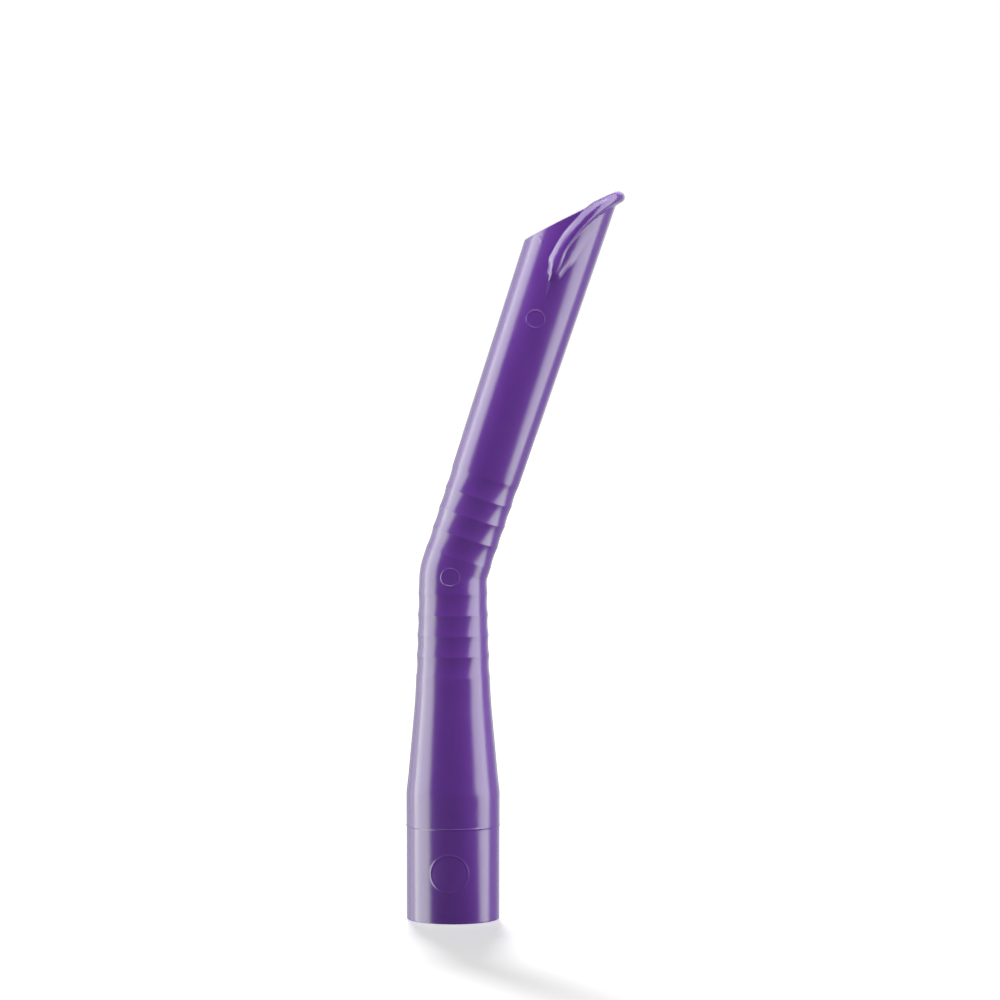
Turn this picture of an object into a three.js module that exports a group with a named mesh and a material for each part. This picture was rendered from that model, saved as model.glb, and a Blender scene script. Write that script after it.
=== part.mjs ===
// Disposable dental suction cannula, moulded in one piece: a 16 mm connector, a flared neck,
// grip rings on both sides of a fixed bend, and a straight upper tube. The tube's mouth is cut
// at a slant. The long side of the mouth ends in a rounded lip, and the lip runs on down the
// front and the back of the tube as a raised ridge.
//
// Millimetres. The origin is the centre of the connector's open end, +Z runs up the connector,
// the upper tube leans towards +X, and the front of the part faces -Y. "Height" is measured
// along the connector's axis, and "reach" along the upper tube's axis from where the two meet.
// The turn around the tube is 0 on the +X side and a quarter turn at the front.

import * as THREE from 'three';

// Facets of the solid.
const COLUMNS = 60;
const ROWS_PER_RING = 3;
const NECK_ROWS = 3;
const BEND_ROWS = 4;
const MOUTH_ROWS = 26;
const ROUNDING_ROWS = 4;
const BORE_MOUTH_ROWS = 4;

// Connector and flared neck: each pair is a height and the outer radius there.
const CONNECTOR_RADIUS = 8.0;
const CONNECTOR_ROUNDING = 0.12;
const WITNESS_HEIGHT = 16.3;
const WITNESS_WIDTH = 0.15;
const WITNESS_RADII = [8.035, 8.07];
const SHOULDER = [22.1, 8.085];
const CONE_FOOT = [25.0, 7.72];
const CONE_TOP = [36.0, 6.73];
const NECK_CONTROL = [38.8, 6.475];

// Grip rings: sharp crests with a shallow hollow between each two.
const RING_COUNT = 5;
const LOWER_RINGS = { first: 42.2, pitch: 3.55, firstRadius: 6.38, lastRadius: 5.95, depth: 0.135 };
const UPPER_RINGS = { first: 3.25, pitch: 3.65, firstRadius: 5.86, lastRadius: 5.99, depth: 0.135 };

// Bend between the connector's axis and the upper tube's axis.
const BEND_HEIGHT = 59.75;
const BEND_ANGLE = THREE.MathUtils.degToRad(18.43);
const BEND_TUBE_RADIUS = 5.85;
const PLAIN_HEIGHT = 56.9;
const INSIDE_CORNER_SETBACK = 0.15;
const OUTSIDE_CORNER_SETBACK = 2.2;

// Straight upper tube, which widens a little towards its mouth.
const TAPER_START = 18.2;
const TAPER_START_RADIUS = 6.0;
const TAPER_PER_MM = 0.0107;
const MOUTH_ZONE_START = 51.0;

// Slanted cut of the mouth, and how much its outer edge is rounded.
const CUT_REACH_ON_AXIS = 65.0;
const CUT_SLANT = Math.tan(THREE.MathUtils.degToRad(45));
const EDGE_ROUNDING = 0.2;
const LIP_ROUNDING = 1.0;
const LIP_ROUNDING_TURN = THREE.MathUtils.degToRad(62);

// The edge's place is found in passes that each close only a share of the gap, so that they settle.
const EDGE_PASSES = 16;
const EDGE_PASS_SHARE = 0.45;

// The lip bulges a little above the plane of the cut, up to these turns from the long side.
const LIP_BULGE = 0.45;
const LIP_BULGE_TURNS = [60, 70].map(THREE.MathUtils.degToRad);

// Ridge: the line of its crest on the unrolled tube, as arc length from the +X side and reach.
// It climbs straight from its foot to its knee, and then curves over to the lip's tip.
const RIDGE_UNROLL_RADIUS = 6.45;
const RIDGE_FOOT = new THREE.Vector2(10.1, 55.2);
const RIDGE_KNEE = new THREE.Vector2(9.6, 59.5);
const RIDGE_CORNER = new THREE.Vector2(6.2, 71.0);
const RIDGE_TIP = new THREE.Vector2(0, 70.6);
const RIDGE_SAMPLES = 40;
const RIDGE_FOOT_HEIGHT = 0.5;
const LIP_HEIGHT = 1.07;
const RIDGE_FOOT_NARROWING = 0.7;
const RIDGE_WIDENING_LENGTH = 4.0;

// Across the ridge: widths are measured from its crest line, and a pair of lengths up the ridge
// tells where a change along it starts and ends.
const FLANK_WIDTH = 0.8;
const WIDTH_TO_MOUTH = [1.15, 1.6];
const WIDENING_TO_MOUTH = [4.0, 12.0];
const MOUND_HEIGHT = 0.55;
const MOUND_WIDTH = 2.7;
const MOUND_POWER = 2.5;
const MOUND_END = [3.0, 12.0];
const BEAD_WIDTH = [0.35, 1.3];
const BEAD_WIDENING = [4.0, 17.0];
const BEAD_POWER = 1.6;

// Bore: two tapered holes that meet at the bend.
const BORE_END_RADIUS = 6.5;
const BORE_SHOULDER = [22.1, 6.4];
const BORE_NECK = [42.2, 5.05];
const BORE_BEND_RADIUS = 4.75;
const BORE_MOUTH_RADIUS = 5.25;
const BORE_CORNER_SETBACK = 0.3;
const BORE_MOUTH_REACH = 72.0;

const PURPLE = 0x6b3fa3;
const ROUGHNESS = 0.35;

const upperAxis = new THREE.Vector3(Math.sin(BEND_ANGLE), 0, Math.cos(BEND_ANGLE));
const upperSide = new THREE.Vector3(Math.cos(BEND_ANGLE), 0, -Math.sin(BEND_ANGLE));

const turns = Array.from({ length: COLUMNS }, (_, column) => (2 * Math.PI * column) / COLUMNS);

// The turn from the +X side, the same on the front and the back.
function turnFromSide(turn) {
  return Math.abs(Math.atan2(Math.sin(turn), Math.cos(turn)));
}

function lowerPoint(turn, radius, height) {
  return new THREE.Vector3(radius * Math.cos(turn), -radius * Math.sin(turn), height);
}

function upperPoint(turn, radius, reach) {
  return new THREE.Vector3(0, -radius * Math.sin(turn), BEND_HEIGHT)
    .addScaledVector(upperAxis, reach)
    .addScaledVector(upperSide, radius * Math.cos(turn));
}

function lowerRing(height, radius) {
  return turns.map((turn) => lowerPoint(turn, radius, height));
}

function upperRing(reach, radius) {
  return turns.map((turn) => upperPoint(turn, radius, reach));
}

// Rows over the bend. Each line along the tube meets the line it continues on the plane halfway
// between the two axes, and turns there on an arc: tight inside the bend, wide outside it.
function bendRings(radius, insideSetback, outsideSetback) {
  const rings = [];
  for (let row = 0; row <= BEND_ROWS; row += 1) {
    const angle = (BEND_ANGLE * row) / BEND_ROWS;
    rings.push(turns.map((turn) => {
      const outsideShare = (1 - Math.cos(turn)) / 2;
      const setback = THREE.MathUtils.lerp(insideSetback, outsideSetback, outsideShare);
      const arcRadius = setback / Math.tan(BEND_ANGLE / 2);
      const mitreHeight = BEND_HEIGHT - radius * Math.cos(turn) * Math.tan(BEND_ANGLE / 2);
      const point = lowerPoint(turn, radius, mitreHeight - setback);
      point.z += arcRadius * Math.sin(angle);
      point.x += arcRadius * (1 - Math.cos(angle));
      return point;
    }));
  }
  return rings;
}

// Place and radius of every row over a group of grip rings.
function gripStations({ first, pitch, firstRadius, lastRadius, depth }) {
  const stations = [];
  const rowCount = (RING_COUNT - 1) * ROWS_PER_RING;
  for (let row = 0; row <= rowCount; row += 1) {
    const crestRadius = THREE.MathUtils.lerp(firstRadius, lastRadius, row / rowCount);
    const between = (row % ROWS_PER_RING) / ROWS_PER_RING;
    const hollow = depth * 4 * between * (1 - between);
    stations.push([first + (pitch * row) / ROWS_PER_RING, crestRadius - hollow]);
  }
  return stations;
}

function neckStations() {
  const curve = new THREE.QuadraticBezierCurve(
    new THREE.Vector2(...CONE_TOP),
    new THREE.Vector2(...NECK_CONTROL),
    new THREE.Vector2(LOWER_RINGS.first, LOWER_RINGS.firstRadius),
  );
  return curve.getPoints(NECK_ROWS).slice(0, -1).map((point) => [point.x, point.y]);
}

function connectorStations() {
  const edge = [];
  for (const angle of [0, Math.PI / 4, Math.PI / 2]) {
    edge.push([
      CONNECTOR_ROUNDING * (1 - Math.cos(angle)),
      CONNECTOR_RADIUS - CONNECTOR_ROUNDING * (1 - Math.sin(angle)),
    ]);
  }
  return [
    ...edge,
    [WITNESS_HEIGHT - WITNESS_WIDTH, WITNESS_RADII[0]],
    [WITNESS_HEIGHT, WITNESS_RADII[1]],
    SHOULDER,
    CONE_FOOT,
  ];
}

// The ridge's crest line as points, from its foot to the lip's tip, with the length up to each.
function ridgeLine() {
  const climb = new THREE.LineCurve(RIDGE_FOOT, RIDGE_KNEE);
  const turnOver = new THREE.QuadraticBezierCurve(RIDGE_KNEE, RIDGE_CORNER, RIDGE_TIP);
  const points = [...climb.getPoints(RIDGE_SAMPLES), ...turnOver.getPoints(RIDGE_SAMPLES).slice(1)];
  let length = 0;
  return points.map((point, index) => {
    length += index === 0 ? 0 : point.distanceTo(points[index - 1]);
    return { point, length };
  });
}

const ridge = ridgeLine();
const ridgeLength = ridge.at(-1).length;

// How far a low round swelling stands out at a distance from its middle.
function swelling(height, width, power, distance) {
  return height * (1 - Math.min(distance / width, 1) ** power);
}

// How far the ridge and lip stand out of the tube at a turn and reach. The side that looks at
// the mouth is a steep flank that meets the tube in a corner. The other side is a low round
// mound, with a crisp bead on top of it that grows into the lip as the mound fades.
function ridgeHeight(turn, reach) {
  const place = new THREE.Vector2(turnFromSide(turn) * RIDGE_UNROLL_RADIUS, reach);
  let nearest = 0;
  for (let index = 1; index < ridge.length; index += 1) {
    const closer = place.distanceTo(ridge[index].point) < place.distanceTo(ridge[nearest].point);
    nearest = closer ? index : nearest;
  }
  const start = ridge[Math.max(nearest - 1, 0)].point;
  const end = ridge[Math.min(nearest + 1, ridge.length - 1)].point;
  const direction = end.clone().sub(start);
  const offset = place.clone().sub(ridge[nearest].point);
  const distance = offset.length();
  const towardsConnector = direction.cross(offset) > 0;
  const { length } = ridge[nearest];
  const climbed = Math.sqrt(length / ridgeLength);
  const height = THREE.MathUtils.lerp(RIDGE_FOOT_HEIGHT, LIP_HEIGHT, climbed);
  const widening = THREE.MathUtils.smoothstep(length, 0, RIDGE_WIDENING_LENGTH);
  const narrowing = THREE.MathUtils.lerp(RIDGE_FOOT_NARROWING, 1, widening);
  if (towardsConnector) {
    const moundHeight = MOUND_HEIGHT * (1 - THREE.MathUtils.smoothstep(length, ...MOUND_END));
    const beadShare = THREE.MathUtils.smoothstep(length, ...BEAD_WIDENING);
    const beadWidth = THREE.MathUtils.lerp(...BEAD_WIDTH, beadShare);
    return swelling(moundHeight, MOUND_WIDTH * narrowing, MOUND_POWER, distance)
      + swelling(height - moundHeight, beadWidth, BEAD_POWER, distance);
  }
  const mouthShare = THREE.MathUtils.smoothstep(length, ...WIDENING_TO_MOUTH);
  const width = THREE.MathUtils.lerp(...WIDTH_TO_MOUTH, mouthShare) * narrowing;
  return height * THREE.MathUtils.clamp((width - distance) / (FLANK_WIDTH * narrowing), 0, 1);
}

function upperRadius(turn, reach) {
  const plain = TAPER_START_RADIUS + (reach - TAPER_START) * TAPER_PER_MM;
  return plain + ridgeHeight(turn, reach);
}

function cutReach(turn, radius) {
  const bulge = LIP_BULGE * (1 - THREE.MathUtils.smoothstep(turnFromSide(turn), ...LIP_BULGE_TURNS));
  return CUT_REACH_ON_AXIS + CUT_SLANT * Math.cos(turn) * radius + bulge;
}

// Where the outer wall ends and its rounded edge begins, at one turn around the mouth. The edge
// is an arc from the wall to the plane of the cut.
function mouthEdge(turn) {
  const plainShare = THREE.MathUtils.smoothstep(turnFromSide(turn), 0, LIP_ROUNDING_TURN);
  const rounding = THREE.MathUtils.lerp(LIP_ROUNDING, EDGE_ROUNDING, plainShare);
  const cutNormalAngle = Math.atan2(1, -CUT_SLANT * Math.cos(turn));
  const setback = rounding * Math.tan(cutNormalAngle / 2);
  let wallEnd = cutReach(turn, BORE_MOUTH_RADIUS);
  for (let pass = 0; pass < EDGE_PASSES; pass += 1) {
    const target = cutReach(turn, upperRadius(turn, wallEnd)) - setback;
    wallEnd = THREE.MathUtils.lerp(wallEnd, target, EDGE_PASS_SHARE);
  }
  return { rounding, cutNormalAngle, wallEnd, radius: upperRadius(turn, wallEnd) };
}

const mouthEdges = turns.map(mouthEdge);

function outerMouthRings() {
  const rings = [];
  for (let row = 0; row <= MOUTH_ROWS; row += 1) {
    rings.push(turns.map((turn, column) => {
      const wallEnd = mouthEdges[column].wallEnd;
      const reach = THREE.MathUtils.lerp(MOUTH_ZONE_START, wallEnd, row / MOUTH_ROWS);
      return upperPoint(turn, upperRadius(turn, reach), reach);
    }));
  }
  for (let row = 1; row <= ROUNDING_ROWS; row += 1) {
    rings.push(turns.map((turn, column) => {
      const { rounding, cutNormalAngle, wallEnd, radius } = mouthEdges[column];
      const angle = (cutNormalAngle * row) / ROUNDING_ROWS;
      const arcRadius = radius - rounding * (1 - Math.cos(angle));
      return upperPoint(turn, arcRadius, wallEnd + rounding * Math.sin(angle));
    }));
  }
  return rings;
}

function boreMouthRings() {
  const rings = [];
  for (let row = 0; row <= BORE_MOUTH_ROWS; row += 1) {
    rings.push(turns.map((turn) => {
      const cut = cutReach(turn, BORE_MOUTH_RADIUS);
      const reach = THREE.MathUtils.lerp(cut, MOUTH_ZONE_START, row / BORE_MOUTH_ROWS);
      const share = reach / BORE_MOUTH_REACH;
      return upperPoint(turn, THREE.MathUtils.lerp(BORE_BEND_RADIUS, BORE_MOUTH_RADIUS, share), reach);
    }));
  }
  return rings;
}

// Every ring of the surface in order: up the outside, over the mouth's edge, and down the bore.
// The last ring joins the first across the connector's flat end face.
function cannulaRings() {
  const outside = [
    ...connectorStations().map(([height, radius]) => lowerRing(height, radius)),
    ...neckStations().map(([height, radius]) => lowerRing(height, radius)),
    ...gripStations(LOWER_RINGS).map(([height, radius]) => lowerRing(height, radius)),
    lowerRing(PLAIN_HEIGHT, BEND_TUBE_RADIUS),
    ...bendRings(BEND_TUBE_RADIUS, INSIDE_CORNER_SETBACK, OUTSIDE_CORNER_SETBACK),
    ...gripStations(UPPER_RINGS).map(([reach, radius]) => upperRing(reach, radius)),
    ...outerMouthRings(),
  ];
  const bore = [
    ...boreMouthRings(),
    ...bendRings(BORE_BEND_RADIUS, BORE_CORNER_SETBACK, BORE_CORNER_SETBACK).reverse(),
    lowerRing(...BORE_NECK),
    lowerRing(...BORE_SHOULDER),
    lowerRing(0, BORE_END_RADIUS),
  ];
  return [...outside, ...bore];
}

function closedSurface(rings) {
  const positions = rings.flat().flatMap((point) => point.toArray());
  const indices = [];
  rings.forEach((_, ring) => {
    const nextRing = (ring + 1) % rings.length;
    turns.forEach((__, column) => {
      const nextColumn = (column + 1) % COLUMNS;
      const corner = ring * COLUMNS + column;
      const beside = ring * COLUMNS + nextColumn;
      const above = nextRing * COLUMNS + column;
      const across = nextRing * COLUMNS + nextColumn;
      indices.push(corner, above, beside);
      indices.push(beside, above, across);
    });
  });
  const geometry = new THREE.BufferGeometry();
  geometry.setAttribute('position', new THREE.Float32BufferAttribute(positions, 3));
  geometry.setIndex(indices);
  geometry.computeVertexNormals();
  return geometry;
}

function suctionCannula() {
  const material = new THREE.MeshStandardMaterial({ color: PURPLE, roughness: ROUGHNESS, metalness: 0 });
  const mesh = new THREE.Mesh(closedSurface(cannulaRings()), material);
  mesh.name = 'suction_cannula';
  return mesh;
}

const part = new THREE.Group();
part.add(suctionCannula());

export default part;
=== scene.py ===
"""Looks of the moulded dental suction cannula: its fine surface, its purple plastic and a plain white studio.

The shape is worked out in millimetres in the part's own frame. "Height" is measured up the connector's
axis, "reach" along the upper tube's axis from where the two axes meet, and "turn" around the tube: 0 on the
+X side, and a quarter turn at the front (-Y). The fine surface follows the CAD part's dimensions, with a
fuller foot to the ridge. It adds the rounding and the moulding marks that are too fine for the CAD solid.
"""

import math

import bpy
import numpy as np
from mathutils import Euler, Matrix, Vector


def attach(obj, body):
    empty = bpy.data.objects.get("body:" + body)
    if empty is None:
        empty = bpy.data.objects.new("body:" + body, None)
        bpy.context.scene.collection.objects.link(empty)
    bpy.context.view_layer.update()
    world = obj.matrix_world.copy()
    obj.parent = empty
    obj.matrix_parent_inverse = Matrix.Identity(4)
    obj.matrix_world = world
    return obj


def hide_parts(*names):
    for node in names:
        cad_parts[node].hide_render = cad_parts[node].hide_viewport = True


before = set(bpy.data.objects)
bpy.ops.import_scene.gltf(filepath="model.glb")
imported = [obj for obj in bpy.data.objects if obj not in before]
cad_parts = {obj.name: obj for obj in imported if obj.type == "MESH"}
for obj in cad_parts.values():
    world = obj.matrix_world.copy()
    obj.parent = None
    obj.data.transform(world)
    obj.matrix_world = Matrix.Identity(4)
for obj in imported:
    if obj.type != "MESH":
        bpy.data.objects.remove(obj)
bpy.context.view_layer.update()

NODE = "suction_cannula"
MM = 0.001

# Connector and flared neck: heights and outer radii. The fine witness ring is a small step with a bead on it.
CONNECTOR_RADIUS = 8.0
END_ROUNDING = 0.12
WITNESS_HEIGHT = 16.3
WITNESS_STEP = 0.02
WITNESS_STEP_HALF_LENGTH = 0.1
WITNESS_BEAD = 0.07
WITNESS_BEAD_HALF_WIDTH = 0.12
WITNESS_FADE = (24, 40)
PROFILE_KNOTS = [(0.0, 8.0), (16.0, 8.04), (22.1, 8.055), (25.0, 7.72), (36.0, 6.73)]
PROFILE_SOFTENING = 0.35
NECK_CONTROL = (38.8, 6.475)

# Grip rings: first crest, pitch, crest radii, depth of the hollows between the crests.
RING_COUNT = 5
LOWER_RINGS = dict(first=42.2, pitch=3.55, first_radius=6.38, last_radius=5.95, depth=0.135)
UPPER_RINGS = dict(first=3.25, pitch=3.65, first_radius=5.86, last_radius=5.99, depth=0.135)
ROWS_IN_RING = np.array([0, 0.02, 0.05, 0.1, 0.17, 0.26, 0.37, 0.5, 0.63, 0.74, 0.83, 0.9, 0.95, 0.98])

# Bend between the two axes. The tube is plain from the plain height up to the bend.
BEND_HEIGHT = 59.75
BEND_ANGLE = math.radians(18.43)
BEND_TUBE_RADIUS = 5.85
PLAIN_HEIGHT = 57.9
INSIDE_CORNER_SETBACK = 0.15
OUTSIDE_CORNER_SETBACK = 2.2
BEND_ROWS = 22
ROWS_BELOW_BEND = 22
ROWS_ABOVE_BEND = 24

# Upper tube and its slanted mouth.
TAPER_START = 18.2
TAPER_START_RADIUS = 6.0
TAPER_PER_MM = 0.0107
MOUTH_ZONE_START = 52.5
MOUTH_ROWS = 84
RIM_ROWS = 2
CUT_REACH_ON_AXIS = 65.0
CUT_SLANT = math.tan(math.radians(45))
EDGE_ROUNDING = 0.2
LIP_ROUNDING = 1.0
LIP_ROUNDING_TURN = math.radians(62)
LIP_BULGE = 0.45
LIP_BULGE_TURNS = (math.radians(60), math.radians(70))
ROUNDING_ROWS = 10

# The wall's end depends on its own radius, so it is found in passes that each go a share of the way.
EDGE_PASSES = 16
EDGE_PASS_SHARE = 0.45

# Ridge: the line of its crest on the unrolled tube, as arc length from the +X side and reach.
RIDGE_UNROLL_RADIUS = 6.45
RIDGE_FOOT = np.array([9.95, 55.3])
RIDGE_KNEE = np.array([9.2, 59.5])
RIDGE_CORNER = np.array([6.2, 71.0])
RIDGE_TIP = np.array([0.0, 70.6])
RIDGE_SAMPLES = 40
RIDGE_FOOT_HEIGHT = 0.96
LIP_HEIGHT = 1.07
RIDGE_SOFTENING = 0.2

# Across the ridge: heights, and widths from the crest line. A name that ends in SPAN is the stretch of the
# ridge's length, from its foot, over which a value changes.
FLANK_WIDTH = 0.8
FLANK_SOFTENING = 0.12
WIDTH_TO_MOUTH = (1.1, 1.6)
WIDTH_TO_MOUTH_SPAN = (4.0, 12.0)
FOOT_FLANK_SHARES = (0.8, 1.5)
FOOT_FLANK_SPAN = (0, 1.7)
PLAIN_FLANK_SPAN = (5, 10)
MOUND_HEIGHT = 0.55
MOUND_WIDTH = 2.7
MOUND_POWER = 2.5
MOUND_END_SPAN = (3.0, 12.0)
FOOT_MOUND_HEIGHT = 0.79
FOOT_MOUND_SPAN = (0, 5.0)
FOOT_MOUND_WIDTH_SHARE = 0.7
FOOT_MOUND_WIDTH_SPAN = (0, 4.0)
BEAD_WIDTH = (0.4, 1.3)
BEAD_WIDTH_SPAN = (4.0, 17.0)
BEAD_POWER = 1.6
FOOT_BEAD_WIDENING = 0.45

# Bore: two tapered holes that meet at the bend.
BORE_END_RADIUS = 6.5
BORE_KNOTS = [(0.0, 6.5), (22.1, 6.4), (42.2, 5.05), (57.5, 4.75)]
BORE_BEND_RADIUS = 4.75
BORE_MOUTH_RADIUS = 5.25
BORE_MOUTH_REACH = 72.0
BORE_CORNER_SETBACK = 0.3
BORE_EDGE_ROUNDING = 0.15
BORE_UPPER_ROWS = 14
BORE_UPPER_START = 6.0
BORE_LOWER_HEIGHTS = [56.5, 50, 44, 42.2, 38, 32, 26, 22.1, 18, 12, 6, 1.0, BORE_EDGE_ROUNDING]

# Round marks that the mould's pins leave at the front: centre height or reach, radius, line height.
# Strokes are two short fine lines on the upper tube, below the ridge's foot and near the mouth's short side:
# turn in degrees and reach of each end, line height.
BEND_MARK = dict(place=59.5, radius=1.5, height=0.07)
UPPER_MARK = dict(place=46.4, radius=1.5, height=0.07)
CONNECTOR_MARK = dict(place=8.65, radius=3.2, height=0.07)
MARK_LINE_WIDTH = 0.13
FRONT_NORMAL_Y = -0.3
STROKES = [
    dict(start=(87.2, 50.3), end=(88.3, 55.0), height=0.12),
    dict(start=(129.0, 60.0), end=(119.5, 59.25), height=0.1),
]

# Columns around the tube, in degrees of turn: fine at the front, where the round marks are.
COLUMN_SPANS = [(-180, -115, 4.5), (-115, 65, 2.2), (65, 132, 0.8), (132, 180, 4.0)]

# Steps between rows along the tube: fine over the marks, the witness ring, the shoulder and the neck.
FIRST_PLAIN_HEIGHT = 0.25
CONNECTOR_STEP = 1.2
CONNECTOR_MARK_STEP = 0.12
WITNESS_ZONE = 0.4
WITNESS_ZONE_STEP = 0.06
SHOULDER_ZONE = (21.5, 22.8)
SHOULDER_ZONE_STEP = 0.13
CONE_FOOT_STEP = 0.3
CONE_FOOT_END = 26
CONE_STEP = 1.0
NECK_STEP = 0.45
UPPER_TUBE_STEP = 1.6
UPPER_MARK_STEP = 0.09
BELOW_MOUTH_STEP = 0.8


def smooth_step(value, low, high):
    share = np.clip((value - low) / (high - low), 0, 1)
    return share * share * (3 - 2 * share)


def blend(low, high, share):
    return low + (high - low) * share


def ramp_to_one(value):
    """Rises straight from 0 and levels off at 1, with a softened corner."""
    return np.clip((value + 1 - np.sqrt((value - 1) ** 2 + FLANK_SOFTENING)) / 2, 0, None)


def span(start, end, step):
    """Evenly spaced values from start up to, but not with, end."""
    count = max(1, round((end - start) / step))
    return np.linspace(start, end, count, endpoint=False)


turns = np.radians(np.concatenate([span(*column_span) for column_span in COLUMN_SPANS]))
turns_from_side = np.abs(np.arctan2(np.sin(turns), np.cos(turns)))
upper_axis = np.array([math.sin(BEND_ANGLE), 0, math.cos(BEND_ANGLE)])
upper_side = np.array([math.cos(BEND_ANGLE), 0, -math.sin(BEND_ANGLE)])
front = np.array([0, -1, 0])
bend_point = np.array([0, 0, BEND_HEIGHT])


def lower_row(height, radius):
    """A row of points around the connector's axis. Height and radius are numbers or one value per column."""
    heights = np.broadcast_to(height, turns.shape)
    return np.stack([radius * np.cos(turns), -radius * np.sin(turns), heights], axis=1)


def upper_row(reach, radius):
    """A row of points around the upper tube's axis."""
    reaches = np.broadcast_to(reach, turns.shape)
    return (
        bend_point
        + np.outer(reaches, upper_axis)
        + np.outer(radius * np.cos(turns), upper_side)
        + np.outer(radius * np.sin(turns), front)
    )


def quadratic_curve(start, control, end, count):
    share = np.linspace(0, 1, count)[:, None]
    ends = (1 - share) ** 2 * np.array(start) + share**2 * np.array(end)
    return ends + 2 * share * (1 - share) * np.array(control)


def ring_radius(places, first, pitch, first_radius, last_radius, depth):
    """Radius over a group of grip rings: sharp crests with a shallow round hollow between each two."""
    rings = (places - first) / pitch
    crest_radius = blend(first_radius, last_radius, rings / (RING_COUNT - 1))
    between = np.clip(rings, 0, RING_COUNT - 1) % 1
    return crest_radius - depth * 4 * between * (1 - between)


def ring_places(rings):
    """Rows over a group of grip rings, one of them on each crest."""
    rows = np.concatenate([ring + ROWS_IN_RING for ring in range(RING_COUNT - 1)])
    return rings["first"] + rings["pitch"] * np.append(rows, RING_COUNT - 1)


def connector_radius(heights):
    """Radius of the connector and the cone above it, with soft corners and a fine witness ring."""
    neck_top = (LOWER_RINGS["first"], LOWER_RINGS["first_radius"])
    neck = quadratic_curve(PROFILE_KNOTS[-1], NECK_CONTROL, neck_top, 12)
    knots = np.concatenate([PROFILE_KNOTS[:-1], neck])
    offsets = np.linspace(-PROFILE_SOFTENING, PROFILE_SOFTENING, 9)
    soft = np.mean([np.interp(heights + offset, *knots.T) for offset in offsets], axis=0)
    from_witness = heights - WITNESS_HEIGHT
    step = WITNESS_STEP * smooth_step(from_witness, -WITNESS_STEP_HALF_LENGTH, WITNESS_STEP_HALF_LENGTH)
    bead = WITNESS_BEAD * np.exp(-((from_witness / WITNESS_BEAD_HALF_WIDTH) ** 2))
    return soft + (step + bead) * (1 - smooth_step(heights, *WITNESS_FADE))


def ridge_line():
    """The ridge's crest line from its foot to the lip's tip, and the length up to each of its points."""
    climb = np.linspace(RIDGE_FOOT, RIDGE_KNEE, RIDGE_SAMPLES // 2, endpoint=False)
    line = np.concatenate([climb, quadratic_curve(RIDGE_KNEE, RIDGE_CORNER, RIDGE_TIP, RIDGE_SAMPLES)])
    lengths = np.concatenate([[0], np.cumsum(np.linalg.norm(np.diff(line, axis=0), axis=1))])
    return line, lengths


crest_line, crest_lengths = ridge_line()


def sharp_ridge_height(reaches):
    """How far the ridge and lip stand out of the tube before their edges are softened.

    It takes one reach for every column, or one for all of them.

    The side that looks at the mouth is a steep flank that meets the tube in a corner, widest just above its
    foot. The other side is a low round mound, highest at its foot, with a crisp bead on top of it that grows
    into the lip as the mound fades.
    """
    places = np.stack([turns_from_side * RIDGE_UNROLL_RADIUS, np.broadcast_to(reaches, turns.shape)], axis=1)
    starts = crest_line[:-1]
    steps = np.diff(crest_line, axis=0)
    step_lengths = np.linalg.norm(steps, axis=1)
    from_start = places[:, None] - starts
    along = np.clip((from_start * steps).sum(axis=2) / step_lengths**2, 0, 1)
    offsets = from_start - along[..., None] * steps
    distances = np.linalg.norm(offsets, axis=2)
    nearest = distances.argmin(axis=1)
    column = np.arange(len(turns))
    distance = distances[column, nearest]
    offset = offsets[column, nearest]
    direction = steps[nearest] / step_lengths[nearest][:, None]
    sideways = direction[:, 0] * offset[:, 1] - direction[:, 1] * offset[:, 0]
    connector_share = smooth_step(sideways / np.maximum(distance, 1e-9), -1, 1)
    climbed = crest_lengths[nearest] + along[column, nearest] * step_lengths[nearest]
    height = blend(RIDGE_FOOT_HEIGHT, LIP_HEIGHT, np.sqrt(climbed / crest_lengths[-1]))

    foot_flank_share = blend(*FOOT_FLANK_SHARES, smooth_step(climbed, *FOOT_FLANK_SPAN))
    flank_share = blend(foot_flank_share, 1, smooth_step(climbed, *PLAIN_FLANK_SPAN))
    mouth_width = blend(*WIDTH_TO_MOUTH, smooth_step(climbed, *WIDTH_TO_MOUTH_SPAN)) * flank_share
    flank_width = FLANK_WIDTH * flank_share
    flank = ramp_to_one((mouth_width - distance) / flank_width) / ramp_to_one(mouth_width / flank_width)
    to_mouth = height * flank

    foot_share = 1 - smooth_step(climbed, *FOOT_MOUND_SPAN)
    mound = blend(MOUND_HEIGHT, FOOT_MOUND_HEIGHT, foot_share) * (1 - smooth_step(climbed, *MOUND_END_SPAN))
    mound_width = MOUND_WIDTH * blend(FOOT_MOUND_WIDTH_SHARE, 1, smooth_step(climbed, *FOOT_MOUND_WIDTH_SPAN))
    bead_width = blend(*BEAD_WIDTH, smooth_step(climbed, *BEAD_WIDTH_SPAN)) + FOOT_BEAD_WIDENING * foot_share
    bead = (height - mound) * (1 - np.minimum(distance / bead_width, 1) ** BEAD_POWER)
    to_connector = mound * (1 - np.minimum(distance / mound_width, 1) ** MOUND_POWER) + bead
    return blend(to_mouth, to_connector, connector_share)


def ridge_height(reaches):
    """Height of the ridge and lip, softened by taking the mean over a short stretch along the tube."""
    offsets = np.linspace(-RIDGE_SOFTENING, RIDGE_SOFTENING, 7)
    return np.mean([sharp_ridge_height(reaches + offset) for offset in offsets], axis=0)


def upper_radius(reaches):
    return TAPER_START_RADIUS + (reaches - TAPER_START) * TAPER_PER_MM + ridge_height(reaches)


def cut_reach(radius):
    """Reach of the mouth's slanted plane at a radius, with the lip's bulge above it."""
    bulge = LIP_BULGE * (1 - smooth_step(turns_from_side, *LIP_BULGE_TURNS))
    return CUT_REACH_ON_AXIS + CUT_SLANT * np.cos(turns) * radius + bulge


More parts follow.
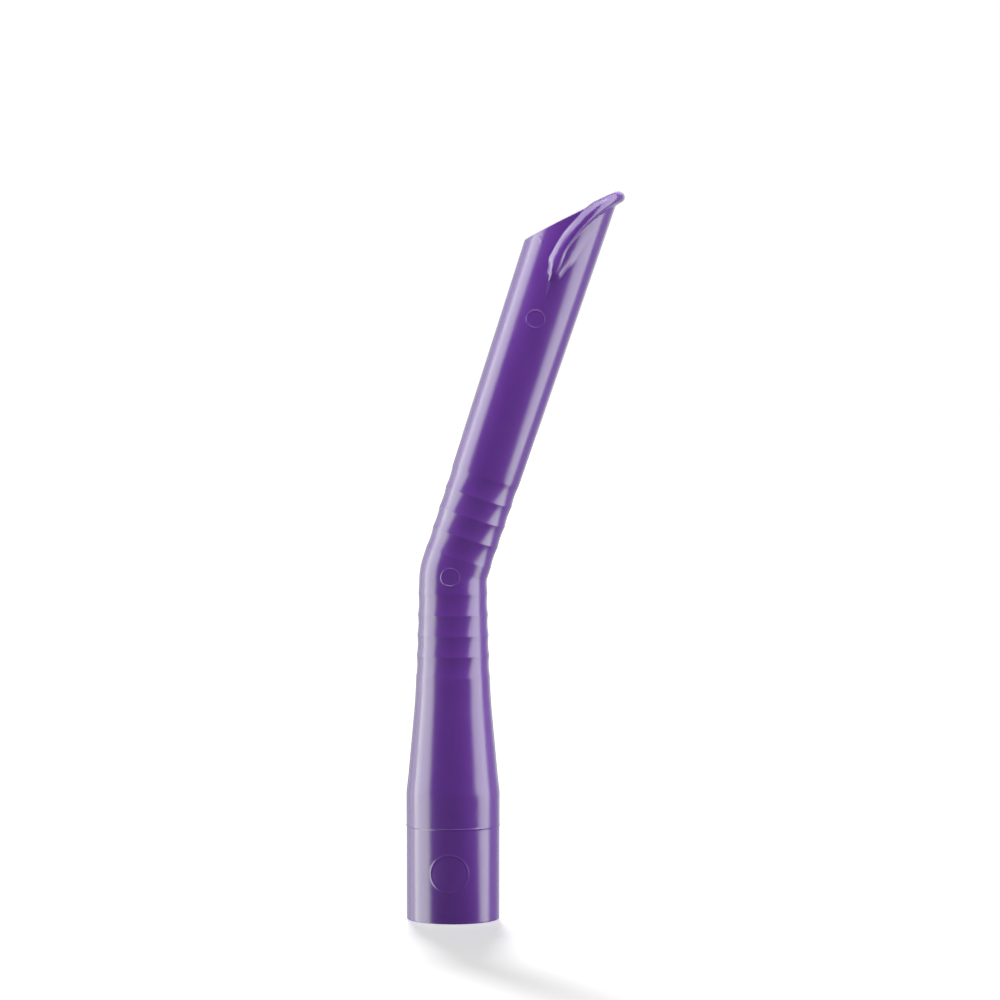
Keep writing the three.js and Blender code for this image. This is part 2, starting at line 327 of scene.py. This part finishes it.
def bend_rows(radius, inside_setback, outside_setback):
    """Rows over the bend. Each line along the tube turns on an arc: tight inside the bend, wide outside."""
    setback = blend(inside_setback, outside_setback, (1 - np.cos(turns)) / 2)
    half_turn = math.tan(BEND_ANGLE / 2)
    start = lower_row(BEND_HEIGHT - radius * np.cos(turns) * half_turn - setback, radius)
    rows = []
    for angle in np.linspace(0, BEND_ANGLE, BEND_ROWS):
        row = start.copy()
        row[:, 0] += setback / half_turn * (1 - math.cos(angle))
        row[:, 2] += setback / half_turn * math.sin(angle)
        rows.append(row)
    return rows


def rows_between(first, last, count):
    """Rows on straight lines between two rows, without the two."""
    return [blend(first, last, share) for share in np.linspace(0, 1, count + 2)[1:-1]]


def mark_stretch(mark):
    """Where a round mark's lines start and end along the tube."""
    reach = mark["radius"] + 2 * MARK_LINE_WIDTH
    return mark["place"] - reach, mark["place"] + reach


def connector_rows():
    """The outside, from the rounded edge of the connector's end to the first grip ring."""
    angles = np.linspace(0, math.pi / 2, 4)
    rows = [
        lower_row(END_ROUNDING * (1 - math.cos(a)), CONNECTOR_RADIUS - END_ROUNDING * (1 - math.sin(a)))
        for a in angles
    ]
    mark_bottom, mark_top = mark_stretch(CONNECTOR_MARK)
    witness_bottom = WITNESS_HEIGHT - WITNESS_ZONE
    witness_top = WITNESS_HEIGHT + WITNESS_ZONE
    neck_start = PROFILE_KNOTS[-1][0]
    heights = np.concatenate([
        span(FIRST_PLAIN_HEIGHT, mark_bottom, CONNECTOR_STEP),
        span(mark_bottom, mark_top, CONNECTOR_MARK_STEP),
        span(mark_top, witness_bottom, CONNECTOR_STEP),
        span(witness_bottom, witness_top, WITNESS_ZONE_STEP),
        span(witness_top, SHOULDER_ZONE[0], CONNECTOR_STEP),
        span(*SHOULDER_ZONE, SHOULDER_ZONE_STEP),
        span(SHOULDER_ZONE[1], CONE_FOOT_END, CONE_FOOT_STEP),
        span(CONE_FOOT_END, neck_start, CONE_STEP),
        span(neck_start, LOWER_RINGS["first"], NECK_STEP),
    ])
    return rows + [lower_row(h, r) for h, r in zip(heights, connector_radius(heights))]


def grip_and_bend_rows():
    """The two groups of grip rings and the bend between them."""
    lower = ring_places(LOWER_RINGS)
    upper = ring_places(UPPER_RINGS)
    bend = bend_rows(BEND_TUBE_RADIUS, INSIDE_CORNER_SETBACK, OUTSIDE_CORNER_SETBACK)
    plain_row = lower_row(PLAIN_HEIGHT, BEND_TUBE_RADIUS)
    first_upper_row = upper_row(UPPER_RINGS["first"] - 0.1, UPPER_RINGS["first_radius"])
    return [
        *[lower_row(h, r) for h, r in zip(lower, ring_radius(lower, **LOWER_RINGS))],
        *rows_between(lower_row(lower[-1], LOWER_RINGS["last_radius"]), plain_row, 2),
        plain_row,
        *rows_between(plain_row, bend[0], ROWS_BELOW_BEND),
        *bend,
        *rows_between(bend[-1], first_upper_row, ROWS_ABOVE_BEND),
        *[upper_row(t, r) for t, r in zip(upper, ring_radius(upper, **UPPER_RINGS))],
    ]


def upper_tube_rows():
    """The straight upper tube, up to where the ridges begin."""
    mark_bottom, mark_top = mark_stretch(UPPER_MARK)
    reaches = np.concatenate([
        span(TAPER_START, mark_bottom, UPPER_TUBE_STEP),
        span(mark_bottom, mark_top, UPPER_MARK_STEP),
        span(mark_top, MOUTH_ZONE_START, BELOW_MOUTH_STEP),
    ])
    return [upper_row(reach, upper_radius(reach)) for reach in reaches]


def mouth_rows():
    """The outside of the mouth with its ridges, its rounded edge, and the rim down to the bore."""
    lip_share = 1 - smooth_step(turns_from_side, 0, LIP_ROUNDING_TURN)
    rounding = blend(EDGE_ROUNDING, LIP_ROUNDING, lip_share)
    rim_angle = np.arctan2(1, -CUT_SLANT * np.cos(turns))
    setback = rounding * np.tan(rim_angle / 2)
    wall_end = cut_reach(BORE_MOUTH_RADIUS)
    for _ in range(EDGE_PASSES):
        wall_end = blend(wall_end, cut_reach(upper_radius(wall_end)) - setback, EDGE_PASS_SHARE)
    rows = []
    for share in np.linspace(0, 1, MOUTH_ROWS):
        reach = blend(MOUTH_ZONE_START, wall_end, share)
        rows.append(upper_row(reach, upper_radius(reach)))
    wall_radius = upper_radius(wall_end)
    for share in np.linspace(0, 1, ROUNDING_ROWS)[1:]:
        angle = rim_angle * share
        reach = wall_end + rounding * np.sin(angle)
        rows.append(upper_row(reach, wall_radius - rounding * (1 - np.cos(angle))))
    rim_outside = rows[-1]
    rim_inside_radius = BORE_MOUTH_RADIUS + BORE_EDGE_ROUNDING
    rim_inside = upper_row(cut_reach(rim_inside_radius), rim_inside_radius)
    rows += rows_between(rim_outside, rim_inside, RIM_ROWS)
    rows.append(rim_inside)
    return rows


def bore_rows():
    """The bore, from the mouth down to the connector's end face."""
    start = cut_reach(BORE_MOUTH_RADIUS) - BORE_EDGE_ROUNDING
    rows = []
    for share in np.linspace(0, 1, BORE_UPPER_ROWS):
        reach = blend(start, BORE_UPPER_START, share)
        rows.append(upper_row(reach, blend(BORE_BEND_RADIUS, BORE_MOUTH_RADIUS, reach / BORE_MOUTH_REACH)))
    rows += bend_rows(BORE_BEND_RADIUS, BORE_CORNER_SETBACK, BORE_CORNER_SETBACK)[::-4]
    radii = np.interp(BORE_LOWER_HEIGHTS, *np.array(BORE_KNOTS).T)
    rows += [lower_row(h, r) for h, r in zip(BORE_LOWER_HEIGHTS, radii)]
    rows.append(lower_row(0, BORE_END_RADIUS + BORE_EDGE_ROUNDING))
    return rows


def mark_line(distance, height):
    """Height of a fine raised line at a distance from its middle."""
    return height * np.exp(-((distance / MARK_LINE_WIDTH) ** 2))


def distance_from_stroke(reaches, start, end):
    """Distance on the unrolled upper tube from a short line between two pairs of turn (degrees) and reach."""
    start = np.array([math.radians(start[0]) * RIDGE_UNROLL_RADIUS, start[1]])
    end = np.array([math.radians(end[0]) * RIDGE_UNROLL_RADIUS, end[1]])
    places = np.stack([np.broadcast_to(turns * RIDGE_UNROLL_RADIUS, reaches.shape), reaches], axis=-1)
    along = np.clip((places - start) @ (end - start) / np.sum((end - start) ** 2), 0, 1)
    return np.linalg.norm(places - start - along[..., None] * (end - start), axis=-1)


def add_marks(points, normals):
    """Raises the fine lines on the front: the marks, which are round as seen along Y, and the strokes."""
    at_front = normals[..., 1] < FRONT_NORMAL_Y
    upper_centre = bend_point + UPPER_MARK["place"] * upper_axis
    raised = np.zeros(points.shape[:-1])
    for mark, centre in (
        (BEND_MARK, np.array([0, 0, BEND_MARK["place"]])),
        (UPPER_MARK, upper_centre),
        (CONNECTOR_MARK, np.array([0, 0, CONNECTOR_MARK["place"]])),
    ):
        from_centre = np.hypot(points[..., 0] - centre[0], points[..., 2] - centre[2])
        raised += mark_line(from_centre - mark["radius"], mark["height"])
    reaches = (points - bend_point) @ upper_axis
    for stroke in STROKES:
        raised += mark_line(distance_from_stroke(reaches, stroke["start"], stroke["end"]), stroke["height"])
    return points + normals * (raised * at_front)[..., None]


def grid_normals(points):
    """Outward normals of the closed grid of rows."""
    along = np.roll(points, -1, axis=0) - np.roll(points, 1, axis=0)
    around = np.roll(points, -1, axis=1) - np.roll(points, 1, axis=1)
    normals = np.cross(along, around)
    return normals / np.linalg.norm(normals, axis=2, keepdims=True)


def grid_mesh(name, points):
    """A closed mesh from rows that join at both ends and all around."""
    row_count, column_count, _ = points.shape
    corner = np.arange(row_count * column_count).reshape(row_count, column_count)
    above = np.roll(corner, -1, axis=0)
    faces = np.stack([corner, above, np.roll(above, -1, axis=1), np.roll(corner, -1, axis=1)], axis=2)
    mesh = bpy.data.meshes.new(name)
    mesh.from_pydata((points.reshape(-1, 3) * MM).tolist(), [], faces.reshape(-1, 4).tolist())
    mesh.shade_smooth()
    mesh.validate()
    return mesh


def make_cannula():
    outside = connector_rows() + grip_and_bend_rows() + upper_tube_rows() + mouth_rows()
    points = np.array(outside + bore_rows())
    marked = add_marks(points, grid_normals(points))
    marked[len(outside):] = points[len(outside):]
    cannula = bpy.data.objects.new("moulded_cannula", grid_mesh("moulded_cannula", marked))
    bpy.context.scene.collection.objects.link(cannula)
    return cannula


# Plastic


def add_node(tree, kind, inputs=(), **settings):
    node = tree.nodes.new(kind)
    for name, value in settings.items():
        setattr(node, name, value)
    for name, value in dict(inputs).items():
        if isinstance(value, bpy.types.NodeSocket):
            tree.links.new(value, node.inputs[name])
        else:
            node.inputs[name].default_value = value
    return node


PLASTIC_LIGHT = (0.081, 0.0178, 0.193, 1)
PLASTIC_DARK = (0.065, 0.0138, 0.160, 1)
PLASTIC_IOR = 1.5
STREAK_SCALE = (260, 260, 40)
SCUFF_SCALE = 420
GRAIN_SCALE = 2600
GLOSS_FROM_SCUFFS = {"From Min": 0.3, "From Max": 0.7, "To Min": 0.21, "To Max": 0.27}
WAVE_RELIEF = 0.35
GRAIN_RELIEF = 0.4
RELIEF_STRENGTH = 0.07
RELIEF_DEPTH = 0.04 * MM
GLOW_WEIGHT = 0.06
GLOW_RADIUS = (0.5, 0.3, 0.7)


def purple_plastic():
    """Slightly translucent polypropylene: faint flow streaks in the colour, and a finely uneven gloss."""
    material = bpy.data.materials.new("purple_plastic")
    material.use_nodes = True
    tree = material.node_tree
    shader = tree.nodes["Principled BSDF"]
    place = add_node(tree, "ShaderNodeTexCoord").outputs["Object"]

    stretched = add_node(tree, "ShaderNodeMapping", {"Vector": place, "Scale": STREAK_SCALE})
    streaks = add_node(tree, "ShaderNodeTexNoise", {"Vector": stretched.outputs[0], "Scale": 1, "Detail": 3})
    colour = add_node(tree, "ShaderNodeMix", data_type="RGBA")
    colour.inputs["A"].default_value = PLASTIC_DARK
    colour.inputs["B"].default_value = PLASTIC_LIGHT
    tree.links.new(streaks.outputs["Fac"], colour.inputs["Factor"])
    tree.links.new(colour.outputs["Result"], shader.inputs["Base Color"])

    scuff_look = {"Vector": place, "Scale": SCUFF_SCALE, "Detail": 5, "Roughness": 0.6}
    scuffs = add_node(tree, "ShaderNodeTexNoise", scuff_look)
    gloss = add_node(tree, "ShaderNodeMapRange", {"Value": scuffs.outputs["Fac"], **GLOSS_FROM_SCUFFS})
    tree.links.new(gloss.outputs["Result"], shader.inputs["Roughness"])

    grain = add_node(tree, "ShaderNodeTexNoise", {"Vector": place, "Scale": GRAIN_SCALE, "Detail": 2})
    waves = add_node(tree, "ShaderNodeTexNoise", {"Vector": stretched.outputs[0], "Scale": 0.7, "Detail": 1})
    coarse = add_node(tree, "ShaderNodeMath", {0: waves.outputs["Fac"], 1: WAVE_RELIEF}, operation="MULTIPLY")
    fine = add_node(tree, "ShaderNodeMath", {0: grain.outputs["Fac"], 1: GRAIN_RELIEF}, operation="MULTIPLY")
    relief = add_node(tree, "ShaderNodeMath", {0: fine.outputs[0], 1: coarse.outputs[0]}, operation="ADD")
    bump_look = {"Height": relief.outputs[0], "Strength": RELIEF_STRENGTH, "Distance": RELIEF_DEPTH}
    bump = add_node(tree, "ShaderNodeBump", bump_look)
    tree.links.new(bump.outputs["Normal"], shader.inputs["Normal"])

    shader.inputs["IOR"].default_value = PLASTIC_IOR
    shader.inputs["Subsurface Weight"].default_value = GLOW_WEIGHT
    shader.inputs["Subsurface Radius"].default_value = GLOW_RADIUS
    shader.inputs["Subsurface Scale"].default_value = MM
    return material


# Studio

CAMERA_AZIMUTH = math.radians(4.2)
CAMERA_PITCH = math.radians(2.466)
CAMERA_DISTANCE = 0.74199
CAMERA_SIDESTEP = 0.00813
CAMERA_HEIGHT = 0.10454
CAMERA_LENS = 154.8
CAMERA_SENSOR = 36.0
CAMERA_CLIP_END = 20

FLOOR_SIZE = 6.0
FLOOR_WHITE = (0.9, 0.9, 0.9, 1)
FLOOR_GLOW = {"From Min": 0.01, "From Max": 0.11, "To Min": 0.62, "To Max": 0.78}
PURE_WHITE = (1, 1, 1, 1)
AMBIENT_STRENGTH = 0.02

# Soft panels that the gloss reflects, and soft fills that bring out the plastic's own colour. Directions are
# in degrees: azimuth from the camera's side of the part, + to the right, and elevation above the horizon.
# Widths and heights are in degrees too, as seen from the middle of the part.
PANEL_COLOUR = (0.87, 1.0, 0.71)
PANELS = [
    dict(
        name="left_panel", azimuth=-85, elevation=-5, width=46, height=120, radiance=8.2, lean=7, distance=0.2
    ),
    dict(name="left_middle_panel", azimuth=-115, elevation=0, width=28, height=80, radiance=3.0),
    dict(name="left_rear_panel", azimuth=-138, elevation=0, width=24, height=80, radiance=1.4),
    dict(
        name="right_panel", azimuth=73, elevation=10, width=45, height=90, radiance=7.7, lean=25, distance=0.2
    ),
    dict(name="right_rear_panel", azimuth=128, elevation=0, width=60, height=70, radiance=0.7),
    dict(name="front_panel", azimuth=0, elevation=0, width=120, height=100, radiance=0.15),
    dict(name="backdrop_panel", azimuth=180, elevation=10, width=70, height=80, radiance=0.8),
    dict(name="overhead_panel", azimuth=-20, elevation=57, width=90, height=50, radiance=7),
    dict(name="upper_right_panel", azimuth=68, elevation=54, width=62, height=40, radiance=5),
    dict(name="ceiling_panel", azimuth=150, elevation=50, width=110, height=60, radiance=1.5),
]
FILLS = [
    dict(name="left_fill", azimuth=-92, elevation=0, width=36, height=60, radiance=7.5),
    dict(name="right_fill", azimuth=92, elevation=-4, width=36, height=60, radiance=9.0),
    dict(name="rear_fill", azimuth=180, elevation=20, width=50, height=50, radiance=2.0),
    dict(name="top_fill", azimuth=14, elevation=71, width=30, height=30, radiance=25.0, distance=0.3),
]
LIGHT_DISTANCE = 0.9
PART_MIDDLE = Vector((0.012, 0, 0.065))
SUN_DIRECTION = Vector((-0.099, 0.661, 0.743))
SUN_ANGLE = math.radians(8.5)
SUN_STRENGTH = 1.88


def make_camera():
    data = bpy.data.cameras.new("camera")
    data.lens = CAMERA_LENS
    data.sensor_width = CAMERA_SENSOR
    data.clip_end = CAMERA_CLIP_END
    camera = bpy.data.objects.new("camera", data)
    camera.location = (
        CAMERA_SIDESTEP * math.cos(CAMERA_AZIMUTH) + CAMERA_DISTANCE * math.sin(CAMERA_AZIMUTH),
        CAMERA_SIDESTEP * math.sin(CAMERA_AZIMUTH) - CAMERA_DISTANCE * math.cos(CAMERA_AZIMUTH),
        CAMERA_HEIGHT,
    )
    camera.rotation_euler = Euler((math.pi / 2 - CAMERA_PITCH, 0, CAMERA_AZIMUTH))
    bpy.context.scene.collection.objects.link(camera)
    bpy.context.scene.camera = camera


def make_floor():
    """A white floor that glows more with distance, so the part's shadow on it fades into white."""
    half = FLOOR_SIZE / 2
    corners = [(-half, -half, 0), (half, -half, 0), (half, half, 0), (-half, half, 0)]
    mesh = bpy.data.meshes.new("floor")
    mesh.from_pydata(corners, [], [(0, 1, 2, 3)])
    material = bpy.data.materials.new("white_floor")
    material.use_nodes = True
    shader = material.node_tree.nodes["Principled BSDF"]
    shader.inputs["Base Color"].default_value = FLOOR_WHITE
    shader.inputs["Roughness"].default_value = 0.9
    shader.inputs["Specular IOR Level"].default_value = 0
    shader.inputs["Emission Color"].default_value = PURE_WHITE
    tree = material.node_tree
    place = add_node(tree, "ShaderNodeTexCoord").outputs["Object"]
    distance = add_node(tree, "ShaderNodeVectorMath", {"Vector": place}, operation="LENGTH")
    glow = add_node(tree, "ShaderNodeMapRange", {"Value": distance.outputs["Value"], **FLOOR_GLOW})
    tree.links.new(glow.outputs["Result"], shader.inputs["Emission Strength"])
    mesh.materials.append(material)
    floor = bpy.data.objects.new("floor", mesh)
    floor.visible_glossy = False
    floor.visible_shadow = False
    bpy.context.scene.collection.objects.link(floor)
    return floor


def lit_only(light, receiver):
    """Keeps a light to one object."""
    collection = bpy.data.collections.new(light.name + "_receiver")
    collection.objects.link(receiver)
    light.light_linking.receiver_collection = collection


def aim(light, target):
    light.rotation_euler = (target - light.location).to_track_quat("-Z", "Y").to_euler()
    bpy.context.scene.collection.objects.link(light)


def add_soft_light(
    receiver, name, azimuth, elevation, width, height, radiance, distance=LIGHT_DISTANCE, lean=0
):
    """An elliptical light of an angular width and height, seen from the middle of the part."""
    data = bpy.data.lights.new(name, "AREA")
    data.shape = "ELLIPSE"
    data.size = 2 * distance * math.tan(math.radians(width / 2))
    data.size_y = 2 * distance * math.tan(math.radians(height / 2))
    data.energy = radiance * math.pi * math.pi / 4 * data.size * data.size_y
    light = bpy.data.objects.new(name, data)
    around = CAMERA_AZIMUTH + math.radians(azimuth)
    up = math.radians(elevation)
    direction = Vector((math.sin(around) * math.cos(up), -math.cos(around) * math.cos(up), math.sin(up)))
    light.location = PART_MIDDLE + distance * direction
    aim(light, PART_MIDDLE)
    light.rotation_euler.rotate_axis("Z", math.radians(lean))
    lit_only(light, receiver)
    return light


def add_sun(receiver):
    """The light that casts the part's soft shadow on one object."""
    data = bpy.data.lights.new("shadow_sun", "SUN")
    data.angle = SUN_ANGLE
    data.energy = SUN_STRENGTH
    light = bpy.data.objects.new("shadow_sun", data)
    light.location = SUN_DIRECTION
    aim(light, Vector((0, 0, 0)))
    lit_only(light, receiver)


def make_world():
    """White to the camera, and a soft ambient light on the part without reflections."""
    world = bpy.data.worlds.new("studio")
    world.use_nodes = True
    tree = world.node_tree
    seen = add_node(tree, "ShaderNodeBackground", {"Color": PURE_WHITE, "Strength": 1})
    ambient = add_node(tree, "ShaderNodeBackground", {"Color": PURE_WHITE, "Strength": AMBIENT_STRENGTH})
    path = add_node(tree, "ShaderNodeLightPath")
    mixed = add_node(tree, "ShaderNodeMixShader", {"Fac": path.outputs["Is Camera Ray"]})
    tree.links.new(ambient.outputs[0], mixed.inputs[1])
    tree.links.new(seen.outputs[0], mixed.inputs[2])
    output = next(node for node in tree.nodes if node.type == "OUTPUT_WORLD")
    tree.links.new(mixed.outputs[0], output.inputs["Surface"])
    world.cycles_visibility.glossy = False
    bpy.context.scene.world = world


cannula = make_cannula()
cannula.data.materials.append(purple_plastic())
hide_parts(NODE)
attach(cannula, "root")

make_camera()
floor = make_floor()
make_world()
for panel in PANELS:
    light = add_soft_light(cannula, **panel)
    light.visible_diffuse = False
    light.data.color = PANEL_COLOUR
for fill in FILLS:
    add_soft_light(cannula, **fill).visible_glossy = False
add_sun(floor)
bpy.context.scene.view_settings.view_transform = "Standard"
